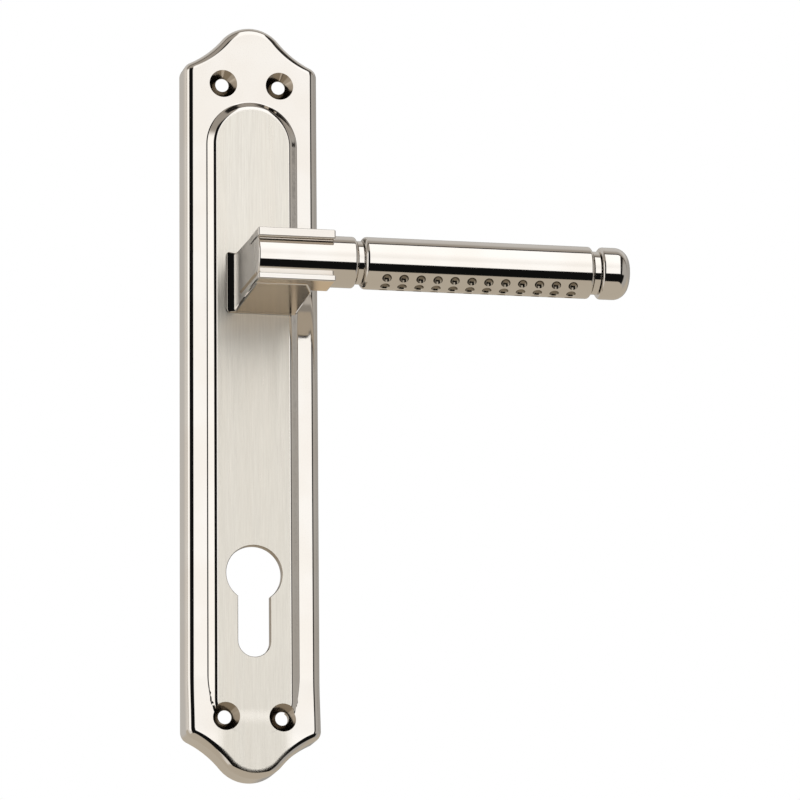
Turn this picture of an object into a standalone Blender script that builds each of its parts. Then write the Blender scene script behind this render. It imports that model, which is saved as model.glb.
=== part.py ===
"""Lever handle on a long backplate, with a euro-profile keyhole: one half of a
door furniture set, drawn as an assembly of separate pieces.

Frame, in metres: +X runs along the lever from the spindle axis, +Z is up and +Y goes into
the door. The origin lies on the spindle axis in the plane of the door's face, so the whole
handle is on the -Y side and only the spindle passes into the door.
"""

import bpy
import bmesh
from math import atan, cos, degrees, pi, radians, sin, sqrt
from mathutils import Matrix, Vector

MM = 0.001

# ---------------------------------------------------------------- driving dimensions, mm
PLATE_H = 240.0          # backplate height
PLATE_W = 42.6           # backplate width
PLATE_CZ = -36.0         # height of the plate's centre, below the spindle axis
RIM = 9.5                # rim face above the door
PANEL = 11.5             # raised panel above the door
SKIN = 2.8               # thickness of the cast wall
EDGE_R = 3.0             # quarter-round edge
LOBE_R = 11.75           # radius of the ogee's crown at the outer edge
SWEEP_R = 30.85          # radius of the ogee's hollow at the outer edge
LOBE_TURN = 50.0         # degrees that the crown turns before it meets the hollow
PANEL_HALF = 14.3        # half width of the panel at the foot of its border
PANEL_TOP = 45.0         # centre height of the panel's upper arch
PANEL_END = -131.6       # centre height of the panel's lower arch
BORDER = 2.95            # width of the panel's border in plan
RAMP = (-124.0, -143.0)  # the rim rises to the panel's level between these heights

SCREW_X, SCREW_TOP, SCREW_LOW = 9.0, 65.0, -137.0
SCREW_R, SINK_R = 2.15, 4.4
KEY_Z = -92.0            # centre of the cylinder, below the spindle axis
KEY_R, KEY_SLOT, KEY_TALL = 8.8, 5.1, 35.0

AXIS = 44.5              # lever's axis in front of the door
LEVER_R = 8.1
HEAD_R = 7.95
HEAD_LEFT, FIN_RIGHT = -6.2, 17.9
FOOT = 2.4               # width of the ledge at the left of the neck's foot
FIN_LOW, FIN_HIGH = 5.3, 8.2
LOW_FIN = 6.2            # inner side of the lower fin
PROUD = 0.2              # the fins stand out from the head's end by this much
FIN_BACK = 39.2
COLLAR_END = 25.2
RING_R = 6.7
GRIP = (27.5, 100.0)
REAR_RING = (100.3, 102.3)
CAP = (102.6, 112.0)
DIMPLE_R, DIMPLE_DEEP, DIMPLES, DIMPLE_PITCH, DIMPLE_START = 1.5, 0.55, 12, 5.36, 34.4
DIMPLE_ROWS = (46.0, 71.5, 97.0, 122.5)  # degrees below the front

SHANK_R, BORE_R, BUSH_R = 7.0, 7.08, 8.0
SPINDLE = 8.0
SPINDLE_END = 46.0
TURN = 45.0              # travel of the lever, degrees

# ---------------------------------------------------------------- scene and materials

for old in list(bpy.data.objects):
    bpy.data.objects.remove(old, do_unlink=True)

PARTS = bpy.data.collections.new("lever_handle_on_backplate")
CUTTERS = bpy.data.collections.new("cutters")
bpy.context.scene.collection.children.link(PARTS)
bpy.context.scene.collection.children.link(CUTTERS)
CUTTERS.hide_render = True


def material(name, colour, metallic, roughness):
    made = bpy.data.materials.new(name)
    made.use_nodes = True
    shader = made.node_tree.nodes["Principled BSDF"]
    shader.inputs["Base Color"].default_value = (*colour, 1.0)
    shader.inputs["Metallic"].default_value = metallic
    shader.inputs["Roughness"].default_value = roughness
    return made


POLISHED = (0.78, 0.75, 0.70)
STEEL = (0.56, 0.57, 0.58)

# ---------------------------------------------------------------- helpers


def to_object(name, mesh_bm, collection, look=None):
    bmesh.ops.remove_doubles(mesh_bm, verts=mesh_bm.verts, dist=1e-7)
    bmesh.ops.recalc_face_normals(mesh_bm, faces=mesh_bm.faces)
    mesh = bpy.data.meshes.new(name)
    mesh_bm.to_mesh(mesh)
    mesh_bm.free()
    mesh.shade_smooth()
    mesh.set_sharp_from_angle(angle=radians(30))
    made = bpy.data.objects.new(name, mesh)
    collection.objects.link(made)
    if look:
        mesh.materials.append(material(name, *look))
    if collection is CUTTERS:
        made.hide_render = True
        made.display_type = "WIRE"
    return made


def loft(name, rings, collection=PARTS, look=None, strips=False):
    """A closed solid through rings of equally many points, in millimetres. A last ring that
    is the same on its left and right, but not flat, is closed in strips across it."""
    mesh_bm = bmesh.new()
    made = [[mesh_bm.verts.new(Vector(p) * MM) for p in ring] for ring in rings]
    for low, high in zip(made, made[1:]):
        for i in range(len(low)):
            j = (i + 1) % len(low)
            mesh_bm.faces.new((low[i], low[j], high[j], high[i]))
    mesh_bm.faces.new(list(reversed(made[0])))
    if strips:
        last = made[-1]
        for i in range(len(last) // 2):
            corners = [last[i], last[i + 1], last[-i - 1], last[-i]]
            mesh_bm.faces.new(list(dict.fromkeys(corners)))
    else:
        mesh_bm.faces.new(made[-1])
    return to_object(name, mesh_bm, collection, look)


def prism(name, outline, y0, y1, collection=CUTTERS, look=None):
    """An outline of (x, z) points extruded from y0 to y1."""
    return loft(
        name,
        [[(x, y0, z) for x, z in outline], [(x, y1, z) for x, z in outline]],
        collection,
        look,
    )


ALONG = {
    "+Y": Matrix.Rotation(-pi / 2, 4, "X"),
    "+X": Matrix.Rotation(pi / 2, 4, "Y"),
    "+Z": Matrix.Identity(4),
}


def turned(name, profile, axis, at=(0, 0, 0), steps=48, collection=PARTS, look=None):
    """A solid turned from (radius, distance along the axis) points. A profile that doesn't
    start and end on the axis is closed on itself, and makes a ring."""
    guide = bpy.data.meshes.new(name + "_profile")
    points = [(r * MM, 0.0, h * MM) for r, h in profile]
    edges = [(i, i + 1) for i in range(len(points) - 1)]
    if profile[0][0] > 0 or profile[-1][0] > 0:
        edges.append((len(points) - 1, 0))
    guide.from_pydata(points, edges, [])
    source = bpy.data.objects.new(name + "_profile", guide)
    bpy.context.scene.collection.objects.link(source)
    screw = source.modifiers.new("Screw", "SCREW")
    screw.axis = "Z"
    screw.steps = screw.render_steps = steps
    screw.use_merge_vertices = True
    screw.merge_threshold = 1e-7
    bpy.context.view_layer.update()
    graph = bpy.context.evaluated_depsgraph_get()
    mesh = bpy.data.meshes.new_from_object(source.evaluated_get(graph))
    mesh_bm = bmesh.new()
    mesh_bm.from_mesh(mesh)
    bpy.data.objects.remove(source)
    mesh_bm.transform(Matrix.Translation(Vector(at) * MM) @ ALONG[axis])
    return to_object(name, mesh_bm, collection, look)


def block(name, low, high, collection=CUTTERS, look=None, bevel=0.0):
    mesh_bm = bmesh.new()
    bmesh.ops.create_cube(mesh_bm, size=1.0)
    low, high = Vector(low) * MM, Vector(high) * MM
    for v in mesh_bm.verts:
        v.co = Vector(
            (a if c < 0 else b) for c, a, b in zip(v.co, low, high)
        )
    if bevel:
        bmesh.ops.bevel(
            mesh_bm,
            geom=list(mesh_bm.edges),
            offset=bevel * MM,
            segments=2,
            profile=0.5,
            affect="EDGES",
        )
    return to_object(name, mesh_bm, collection, look)


def boolean(target, other, operation):
    modifier = target.modifiers.new(other.name, "BOOLEAN")
    modifier.operation = operation
    modifier.solver = "EXACT"
    modifier.object = other
    other.hide_render = True
    other.display_type = "WIRE"


def cut(target, *others):
    for other in others:
        boolean(target, other, "DIFFERENCE")


def add(target, *others):
    for other in others:
        boolean(target, other, "UNION")


def arc(cx, cz, r, start, end, count):
    """Points of an arc from start to end, degrees from +X towards +Z, both ends included."""
    return [
        (
            cx + r * cos(radians(start + (end - start) * i / count)),
            cz + r * sin(radians(start + (end - start) * i / count)),
        )
        for i in range(count + 1)
    ]


def circle(cx, cz, r, count=32):
    return arc(cx, cz, r, 0, 360, count)[:-1]


# ---------------------------------------------------------------- backplate outline


def plate_outline(inset):
    """The ogee-ended outline, this far inside the plate's outer edge. Every inset has the
    same number of points, each on its own normal, so that two insets can be joined."""
    keep = EDGE_R + 0.5 - inset  # distance outside a base line with square corners
    base = EDGE_R + 0.5
    crown, hollow, half = LOBE_R - base, SWEEP_R + base, PLATE_W / 2 - base
    top = PLATE_H / 2 - base
    quarter = []
    for i in range(7):
        a = radians(LOBE_TURN * i / 6)
        normal = (sin(a), cos(a))
        quarter.append(
            (
                crown * sin(a) + keep * normal[0],
                top - crown * (1 - cos(a)) + keep * normal[1],
            )
        )
    s0 = sin(radians(LOBE_TURN))
    x0, z0 = crown * s0, top - crown * (1 - cos(radians(LOBE_TURN)))
    s1 = s0 - (half - x0) / hollow
    first, last = radians(LOBE_TURN), atan(s1 / sqrt(1 - s1 * s1))
    for i in range(1, 6):
        a = first + (last - first) * i / 5
        normal = (sin(a), cos(a))
        quarter.append(
            (
                x0 + hollow * (s0 - sin(a)) + keep * normal[0],
                z0 - hollow * (cos(a) - cos(first)) + keep * normal[1],
            )
        )
    corner = (half, z0 - hollow * (cos(last) - cos(first)))
    for i in range(1, 5):
        a = last + (pi / 2 - last) * i / 4
        quarter.append((corner[0] + keep * sin(a), corner[1] + keep * cos(a)))
    side = [
        (PLATE_W / 2 - inset, RAMP[0] + (RAMP[1] - RAMP[0]) * i / 6 - PLATE_CZ)
        for i in range(6)
    ]
    right = quarter + side + [(x, -z) for x, z in reversed(quarter)]
    left = [(-x, z) for x, z in reversed(right)][1:-1]
    return [(x, z + PLATE_CZ) for x, z in right + left]


def face_level(z):
    """Height of the rim face above the door: it climbs smoothly to the panel's level."""
    t = min(1.0, max(0.0, (RAMP[0] - z) / (RAMP[0] - RAMP[1])))
    return RIM + (PANEL - 0.02 - RIM) * t * t * (3 - 2 * t)


def panel_outline(half):
    """The panel's outline: an arch above, and an arch below that the bottom lobe swallows."""
    return arc(0, PANEL_TOP, half, 180, 0, 16) + arc(0, PANEL_END, half, 0, -180, 16)


def key_outline(grow=0.0):
    """The euro-profile outline: a circle with a round-ended slot below it."""
    r, w = KEY_R + grow, KEY_SLOT + grow
    low = KEY_Z + r - KEY_TALL - grow + w
    meet = degrees(atan(w / sqrt(r * r - w * w)))
    return arc(0, KEY_Z, r, 270 + meet, 630 - meet, 28) + arc(0, low, w, 180, 360, 10)


# ---------------------------------------------------------------- backplate

rings = [[(x, 0.0, z) for x, z in plate_outline(0.0)]]
for k in range(6):
    a = radians(90.0 - 18.0 * k)
    inset = EDGE_R * (1 - sin(a))
    rings.append(
        [
            (x, EDGE_R * (1 - cos(a)) - face_level(z), z)
            for x, z in plate_outline(inset)
        ]
    )
backplate = loft("backplate", rings, PARTS, (POLISHED, 1.0, 0.12), strips=True)

chamfer = radians(42.0)
roll = 1.9
lift = PANEL - RIM
rings = [[(x, -RIM + 1.0, z) for x, z in panel_outline(PANEL_HALF)]]
rings.append([(x, -RIM, z) for x, z in panel_outline(PANEL_HALF)])
for k in range(3):
    a = chamfer * (1 - k / 2)
    inset = BORDER - roll * sin(a)
    rings.append(
        [
            (x, -PANEL + roll * (1 - cos(a)), z)
            for x, z in panel_outline(PANEL_HALF - inset)
        ]
    )
panel = loft("raised_panel", rings, CUTTERS)

add(backplate, panel)

cavity = prism("back_cavity", plate_outline(2.5), 1.0, -(RIM - SKIN))
panel_cavity = prism(
    "panel_cavity", panel_outline(PANEL_HALF - BORDER - 0.6), -1.0, -(PANEL - SKIN)
)
cut(backplate, cavity, panel_cavity)

BOSSES = [(sx * 13.2, sz * 17.0) for sz in (1, -1) for sx in (-1, 1)]
COVER_Y = (-1.9, -1.2)
for n, (x, z) in enumerate(BOSSES):
    add(
        backplate,
        turned(
            f"boss_{n}",
            [(0, -2.1), (2.6, -2.1), (2.6, 1.0 - RIM), (0, 1.0 - RIM)],
            "+Y",
            (x, 0, z),
            20,
            CUTTERS,
        ),
    )
    cut(
        backplate,
        turned(
            f"boss_hole_{n}",
            [(0, 1.0), (0.95, 1.0), (0.95, -6.4), (0, -6.4)],
            "+Y",
            (x, 0, z),
            16,
            CUTTERS,
        ),
    )

for n, (x, z, face) in enumerate(
    [
        (-SCREW_X, SCREW_TOP, RIM),
        (SCREW_X, SCREW_TOP, RIM),
        (-SCREW_X, SCREW_LOW, PANEL),
        (SCREW_X, SCREW_LOW, PANEL),
    ]
):
    deep = SINK_R - SCREW_R
    cut(
        backplate,
        turned(
            f"screw_hole_{n}",
            [
                (0, 1.0),
                (SCREW_R, 1.0),
                (SCREW_R, -face + deep),
                (SINK_R + 1.0, -face - 1.0),
                (0, -face - 1.0),
            ],
            "+Y",
            (x, 0, z),
            32,
            CUTTERS,
        ),
    )
cut(
    backplate,
    prism("key_cutter", key_outline(), 1.0, -20.0),
    turned(
        "bush_seat",
        [(0, 1), (BUSH_R + 0.12, 1), (BUSH_R + 0.12, -20), (0, -20)],
        "+Y",
        (0, 0, 0),
        48,
        CUTTERS,
    ),
)

# ---------------------------------------------------------------- bush, stops and cover
INNER = PANEL - SKIN  # inside face of the panel
look_steel = (STEEL, 1.0, 0.35)

bearing_bush = turned(
    "bearing_bush",
    [
        (BUSH_R, -PANEL + 0.1),
        (BUSH_R, -INNER + 0.1),
        (9.9, -INNER + 0.1),
        (9.9, -INNER + 0.7),
        (BORE_R, -INNER + 0.7),
        (BORE_R, -PANEL + 0.1),
    ],
    "+Y",
    look=((0.86, 0.85, 0.80), 0.0, 0.45),
)

SHOULDER = INNER - 0.7          # 8.0: behind the bush's flange
SPRING_Y = (-SHOULDER + 0.2, -SHOULDER + 3.5)
CAM_Y = (-4.0, -3.0)
CLIP_Y = (-2.8, -2.2)

ARM_R, STOP_AT, STOP_R = 14.6, 12.6, 1.2


def polar(r, angle):
    """A point at this angle from -X, turning up towards +Z: the way that the arm swings."""
    return (-r * cos(radians(angle)), r * sin(radians(angle)))


ARM_HALF = 2.2
side = degrees(atan((ARM_HALF + STOP_R + 0.12) / STOP_AT))
for name, angle in (("rest_stop_pin", -side), ("travel_stop_pin", TURN + side)):
    x, z = polar(STOP_AT, angle)
    turned(
        name,
        [(0, -6.5), (STOP_R - 0.2, -6.5), (STOP_R, -6.3), (STOP_R, -2.3), (STOP_R - 0.2, -2.1), (0, -2.1)],
        "+Y",
        (x, 0, z),
        20,
        look=look_steel,
    )

cover = block(
    "spring_cover", (-17.2, COVER_Y[0], -21.0), (17.2, COVER_Y[1], 21.0), PARTS, (STEEL, 1.0, 0.4)
)
cut(
    cover,
    turned("cover_bore", [(0, 2), (6.4, 2), (6.4, -4), (0, -4)], "+Y", (0, 0, 0), 36, CUTTERS),
)
for n, (x, z) in enumerate(BOSSES):
    cut(
        cover,
        turned(
            f"cover_hole_{n}", [(0, 2), (1.3, 2), (1.3, -4), (0, -4)], "+Y", (x, 0, z), 16, CUTTERS
        ),
    )
    screw = turned(
        f"cover_screw_{n + 1}",
        [
            (0, COVER_Y[1] + 1.0),
            (1.5, COVER_Y[1] + 1.0),
            (2.1, COVER_Y[1] + 0.6),
            (2.1, COVER_Y[1] + 0.1),
            (0.8, COVER_Y[1] + 0.1),
            (0.8, -5.6),
            (0, -5.9),
        ],
        "+Y",
        (x, 0, z),
        16,
        look=look_steel,
    )
    y = COVER_Y[1] + 1.0
    cut(
        screw,
        block(f"slot_a_{n}", (x - 1.3, y - 0.5, z - 0.25), (x + 1.3, y + 1, z + 0.25)),
        block(f"slot_b_{n}", (x - 0.25, y - 0.5, z - 1.3), (x + 0.25, y + 1, z + 1.3)),
    )

# ---------------------------------------------------------------- return spring
WIRE, COIL_R, COILS = 1.0, 8.45, 1.75


def spring_point(t):
    """The wire's middle line: a hooked leg, the coils round the shank, and a second leg."""
    turns = 360.0 * COILS
    angle = t * turns
    y = SPRING_Y[0] + WIRE / 2 + (SPRING_Y[1] - SPRING_Y[0] - WIRE) * t
    x, z = polar(COIL_R, angle - 300.0)
    return Vector((x, y, z))


path = [spring_point(i / 42) for i in range(43)]
start = (path[0] - path[1]).normalized()
end = (path[-1] - path[-2]).normalized()
path = [path[0] + start * 6.5] + path + [path[-1] + end * 4.0]
wire = bpy.data.curves.new("return_spring", "CURVE")
wire.dimensions = "3D"
wire.bevel_depth = WIRE / 2 * MM
wire.bevel_resolution = 1
wire.use_fill_caps = True
line = wire.splines.new("POLY")
line.points.add(len(path) - 1)
for p, q in zip(line.points, path):
    p.co = (*(q * MM), 1.0)
guide = bpy.data.objects.new("return_spring_wire", wire)
bpy.context.scene.collection.objects.link(guide)
bpy.context.view_layer.update()
spring_mesh = bpy.data.meshes.new_from_object(
    guide.evaluated_get(bpy.context.evaluated_depsgraph_get())
)
spring_bm = bmesh.new()
spring_bm.from_mesh(spring_mesh)
bpy.data.objects.remove(guide)
to_object("return_spring", spring_bm, PARTS, ((0.35, 0.36, 0.38), 1.0, 0.35))

# ---------------------------------------------------------------- lever neck and head


def rounded_box(x0, x1, z0, z1, r, y, count=3):
    """A rectangle with round corners, as one ring at this depth."""
    corners = [
        (x1 - r, z1 - r, 90, 0),
        (x1 - r, z0 + r, 0, -90),
        (x0 + r, z0 + r, -90, -180),
        (x0 + r, z1 - r, 180, 90),
    ]
    ring = []
    for cx, cz, a, b in corners:
        ring += [(x, y, z) for x, z in arc(cx, cz, r, a, b, count)]
    return ring


def bar(name, profile, steps=48, collection=PARTS, look=None):
    """A turned piece on the lever's own axis, from (radius, x) points."""
    return turned(name, profile, "+X", (0, -AXIS, 0), steps, collection, look)


FRONT = AXIS + 8.2
rings = [
    rounded_box(HEAD_LEFT, 9.6, -7.9, 7.9, 0.8, -47.9),
    rounded_box(HEAD_LEFT, 10.3, -8.45, 8.45, 0.8, -47.0),
    rounded_box(HEAD_LEFT, 13.3, -8.6, 8.6, 0.8, -38.0),
    rounded_box(HEAD_LEFT, 13.6, -9.3, 9.3, 0.8, -(PANEL + 1.7)),
    rounded_box(HEAD_LEFT - FOOT, 13.9, -9.5, 9.9, 1.0, -(PANEL + 1.0)),
    rounded_box(HEAD_LEFT - FOOT, 13.9, -9.5, 9.9, 1.0, -(PANEL + 0.3)),
]
neck = loft("lever_neck", rings, PARTS, (POLISHED, 1.0, 0.08))
hollow = [(8.5 - 2.7 * cos(radians(a)), -6.42 + 2.7 * sin(radians(a))) for a in (37, 24, 12, 0)]
section = [(3.0, -4.8)] + hollow + [(3.0, -6.42)]
groove_fill = loft(
    "groove_fill",
    [[(x, -AXIS - f, z) for f, z in section] for x in (HEAD_LEFT + 0.8, FIN_RIGHT - 0.8)],
    CUTTERS,
)
add(
    neck,
    bar(
        "head_barrel",
        [
            (0, HEAD_LEFT),
            (HEAD_R - 0.5, HEAD_LEFT),
            (HEAD_R, HEAD_LEFT + 0.5),
            (HEAD_R, COLLAR_END - 1.0),
            (HEAD_R - 0.29, COLLAR_END - 0.29),
            (HEAD_R - 1.0, COLLAR_END),
            (5.0, COLLAR_END),
            (5.0, GRIP[0] + 3.6),
            (4.6, GRIP[0] + 4.0),
            (0, GRIP[0] + 4.0),
        ],
        48,
        CUTTERS,
    ),
    block("upper_fin", (HEAD_LEFT - PROUD, -FRONT, FIN_LOW), (FIN_RIGHT, -FIN_BACK, FIN_HIGH), CUTTERS, None, 0.5),
    block("lower_fin", (HEAD_LEFT - PROUD, -FRONT, -FIN_HIGH), (FIN_RIGHT, -FIN_BACK, -LOW_FIN), CUTTERS, None, 0.5),
    groove_fill,
    turned(
        "shank",
        [
            (0, -PANEL - 0.9),
            (SHANK_R, -PANEL - 0.9),
            (SHANK_R, CLIP_Y[0] - 0.1),
            (SHANK_R - 0.9, CLIP_Y[0] - 0.1),
            (SHANK_R - 0.9, CLIP_Y[1] + 0.1),
            (SHANK_R, CLIP_Y[1] + 0.1),
            (SHANK_R, -2.0),
            (0, -2.0),
        ],
        "+Y",
        (0, 0, 0),
        48,
        CUTTERS,
    ),
)
half = SPINDLE / 2 + 0.1
cut(
    neck,
    block("spindle_socket", (-half, -24.0, -half), (half, 1.0, half)),
    turned("pin_hole", [(0, -20), (1.1, -20), (1.1, 20), (0, 20)], "+Z", (0, -5.6, 0), 16, CUTTERS),
    bar("stud_hole", [(0, 12.0), (3.1, 12.0), (3.1, 40.0), (0, 40.0)], 24, CUTTERS),
    block("flat_a", (-9, -5.0, 6.0), (9, -3.0 + 0.02, 9)),
    block("flat_b", (-9, -5.0, -9), (9, -3.0 + 0.02, -6.0)),
)

# ---------------------------------------------------------------- grip, rings and cap
bar(
    "front_ring",
    [(RING_R, COLLAR_END + 0.3), (RING_R, GRIP[0] - 0.3), (5.2, GRIP[0] - 0.3), (5.2, COLLAR_END + 0.3)],
    36,
    PARTS,
    (POLISHED, 1.0, 0.1),
)
grip = bar(
    "grip_sleeve",
    [
        (RING_R + 0.1, GRIP[0]),
        (LEVER_R - 0.35, GRIP[0] + 0.45),
        (LEVER_R, GRIP[0] + 1.4),
        (LEVER_R, GRIP[1] - 1.1),
        (LEVER_R - 0.35, GRIP[1] - 0.35),
        (RING_R + 0.1, GRIP[1]),
        (5.25, GRIP[1]),
        (5.25, GRIP[0]),
    ],
    48,
    PARTS,
    (POLISHED, 1.0, 0.1),
)
ball = (DIMPLE_R**2 + DIMPLE_DEEP**2) / (2 * DIMPLE_DEEP)
dimple_bm = bmesh.new()
for row in DIMPLE_ROWS:
    out = Vector((0, -cos(radians(row)), -sin(radians(row))))
    for k in range(DIMPLES):
        middle = Vector((DIMPLE_START + DIMPLE_PITCH * k, -AXIS, 0)) + out * LEVER_R
        cone = bmesh.ops.create_cone(
            dimple_bm,
            cap_ends=True,
            segments=8,
            radius1=0.55 * MM,
            radius2=(DIMPLE_R + 0.55) * MM,
            depth=2 * DIMPLE_DEEP * MM,
            matrix=Matrix.Translation(middle * MM) @ out.to_track_quat("Z", "Y").to_matrix().to_4x4(),
        )
dimple_mesh = to_object("dimples", dimple_bm, CUTTERS)
cut(grip, dimple_mesh)

bar(
    "rear_ring",
    [(RING_R, REAR_RING[0]), (RING_R, REAR_RING[1]), (3.3, REAR_RING[1]), (3.3, REAR_RING[0])],
    36,
    PARTS,
    (POLISHED, 1.0, 0.1),
)
dome = [
    (LEVER_R - 4.6 * (1 - cos(radians(a))), CAP[1] - 4.6 + 4.6 * sin(radians(a)))
    for a in (0, 22.5, 45, 67.5, 90)
]
cap = bar(
    "end_cap",
    [(0, CAP[0]), (LEVER_R - 0.8, CAP[0]), (LEVER_R, CAP[0] + 0.8)] + dome + [(0, CAP[1])],
    40,
    PARTS,
    (POLISHED, 1.0, 0.08),
)
cut(cap, bar("cap_hole", [(0, CAP[0] - 2), (3.1, CAP[0] - 2), (3.1, 108.0), (0, 108.0)], 24, CUTTERS))
bar(
    "tie_rod",
    [(0, 12.3), (2.6, 12.3), (3.0, 12.7), (3.0, 107.3), (2.6, 107.7), (0, 107.7)],
    20,
    PARTS,
    look_steel,
)

# ---------------------------------------------------------------- drive behind the plate
arm = [(x, z) for x, z in arc(0, 0, 9.6, 0, 360, 36)[:-1]]
cam = prism("cam_plate", arm, CAM_Y[0], CAM_Y[1], PARTS, look_steel)
add(cam, block("cam_arm", (-ARM_R, CAM_Y[0], -ARM_HALF), (-7.5, CAM_Y[1], ARM_HALF)))
keyed = turned(
    "cam_bore",
    [(0, 0), (SHANK_R + 0.1, 0), (SHANK_R + 0.1, -8), (0, -8)],
    "+Y",
    (0, 0, 0),
    48,
    CUTTERS,
)
cut(
    keyed,
    block("key_flat_a", (-9, -9, 6.12), (9, 1, 12)),
    block("key_flat_b", (-9, -9, -12), (9, 1, -6.12)),
)
cut(cam, keyed)

clip = turned(
    "retaining_clip",
    [(8.9, CLIP_Y[0]), (8.9, CLIP_Y[1]), (SHANK_R - 0.75, CLIP_Y[1]), (SHANK_R - 0.75, CLIP_Y[0])],
    "+Y",
    (0, 0, 0),
    40,
    PARTS,
    look_steel,
)
cut(clip, block("clip_gap", (3.0, -5, -2.2), (12, 1, 2.2)))

spindle = block(
    "spindle",
    (-SPINDLE / 2, -23.5, -SPINDLE / 2),
    (SPINDLE / 2, SPINDLE_END, SPINDLE / 2),
    PARTS,
    look_steel,
    0.35,
)
cut(
    spindle,
    turned("spindle_hole", [(0, -9), (1.1, -9), (1.1, 9), (0, 9)], "+Z", (0, -5.6, 0), 16, CUTTERS),
)
turned(
    "spindle_pin",
    [(0, -6.8), (0.8, -6.8), (1.0, -6.6), (1.0, 6.6), (0.8, 6.8), (0, 6.8)],
    "+Z",
    (0, -5.6, 0),
    16,
    PARTS,
    look_steel,
)

# ---------------------------------------------------------------- the lever turns on the spindle axis
pivot = bpy.data.objects.new("lever_pivot", None)
PARTS.objects.link(pivot)
for name in (
    "lever_neck",
    "front_ring",
    "grip_sleeve",
    "rear_ring",
    "end_cap",
    "tie_rod",
    "cam_plate",
    "retaining_clip",
    "spindle",
    "spindle_pin",
):
    bpy.data.objects[name].parent = pivot
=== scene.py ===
"""Looks of the lever handle on its long backplate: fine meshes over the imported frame,
polished, satin-brushed and cast nickel, zinc-plated steel, spring steel and nylon, in a
plain studio with a softbox above and in front, and a pale floor."""

from math import atan, cos, degrees, pi, radians, sin, sqrt, tan

import bmesh
import bpy
from mathutils import Matrix, Vector


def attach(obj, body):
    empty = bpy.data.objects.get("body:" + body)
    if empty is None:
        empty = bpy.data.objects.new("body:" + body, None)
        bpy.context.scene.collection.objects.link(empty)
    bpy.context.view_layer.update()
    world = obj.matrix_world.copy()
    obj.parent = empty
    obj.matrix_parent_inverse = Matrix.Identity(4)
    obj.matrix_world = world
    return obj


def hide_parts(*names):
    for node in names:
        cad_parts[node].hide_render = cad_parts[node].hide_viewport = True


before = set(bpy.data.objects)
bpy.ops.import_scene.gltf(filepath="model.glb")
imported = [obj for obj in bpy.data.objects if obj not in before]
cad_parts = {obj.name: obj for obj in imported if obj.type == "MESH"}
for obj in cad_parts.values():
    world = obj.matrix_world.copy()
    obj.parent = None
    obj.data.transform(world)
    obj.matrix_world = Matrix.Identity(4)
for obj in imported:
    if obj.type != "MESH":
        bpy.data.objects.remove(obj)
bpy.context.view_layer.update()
MM = 0.001

# ================================================================ dimensions, mm
PLATE_H, PLATE_W, PLATE_CZ = 240.0, 42.6, -36.0
RIM, PANEL, SKIN, EDGE_R = 9.75, 11.5, 2.8, 3.0
LOBE_R, SWEEP_R, LOBE_TURN = 11.75, 30.85, 50.0
PANEL_HALF, PANEL_TOP, PANEL_END, BORDER = 14.3, 45.0, -131.6, 2.95
RAMP = (-124.0, -143.0)
SCREW_X, SCREW_TOP, SCREW_LOW, SCREW_R, SINK_R = 9.0, 65.0, -137.0, 2.15, 4.4
KEY_Z, KEY_R, KEY_SLOT, KEY_TALL = -92.0, 8.8, 5.1, 35.0
AXIS, LEVER_R, HEAD_R = 44.5, 8.1, 7.95
HEAD_LEFT, FIN_RIGHT, FIN_LOW, FIN_HIGH, FIN_BACK, FOOT = -6.2, 17.9, 5.3, 8.2, 39.2, 2.4
LOW_FIN, PROUD = 6.2, 0.2
FRONT = AXIS + 8.2
COLLAR_END, RING_R = 25.2, 6.7
GRIP, REAR_RING, CAP = (27.5, 100.0), (100.3, 102.3), (102.6, 112.0)
DIMPLE_R, DIMPLE_DEEP, DIMPLES, DIMPLE_PITCH, DIMPLE_START = 1.5, 0.95, 12, 5.36, 34.4
DIMPLE_ROWS = (46.0, 71.5, 97.0, 122.5)
SHANK_R, BUSH_R, SPINDLE, SPINDLE_END = 7.0, 8.0, 8.0, 46.0
BOSSES = [(sx * 13.2, sz * 17.0) for sz in (1, -1) for sx in (-1, 1)]
COVER_Y = (-1.9, -1.2)


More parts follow.
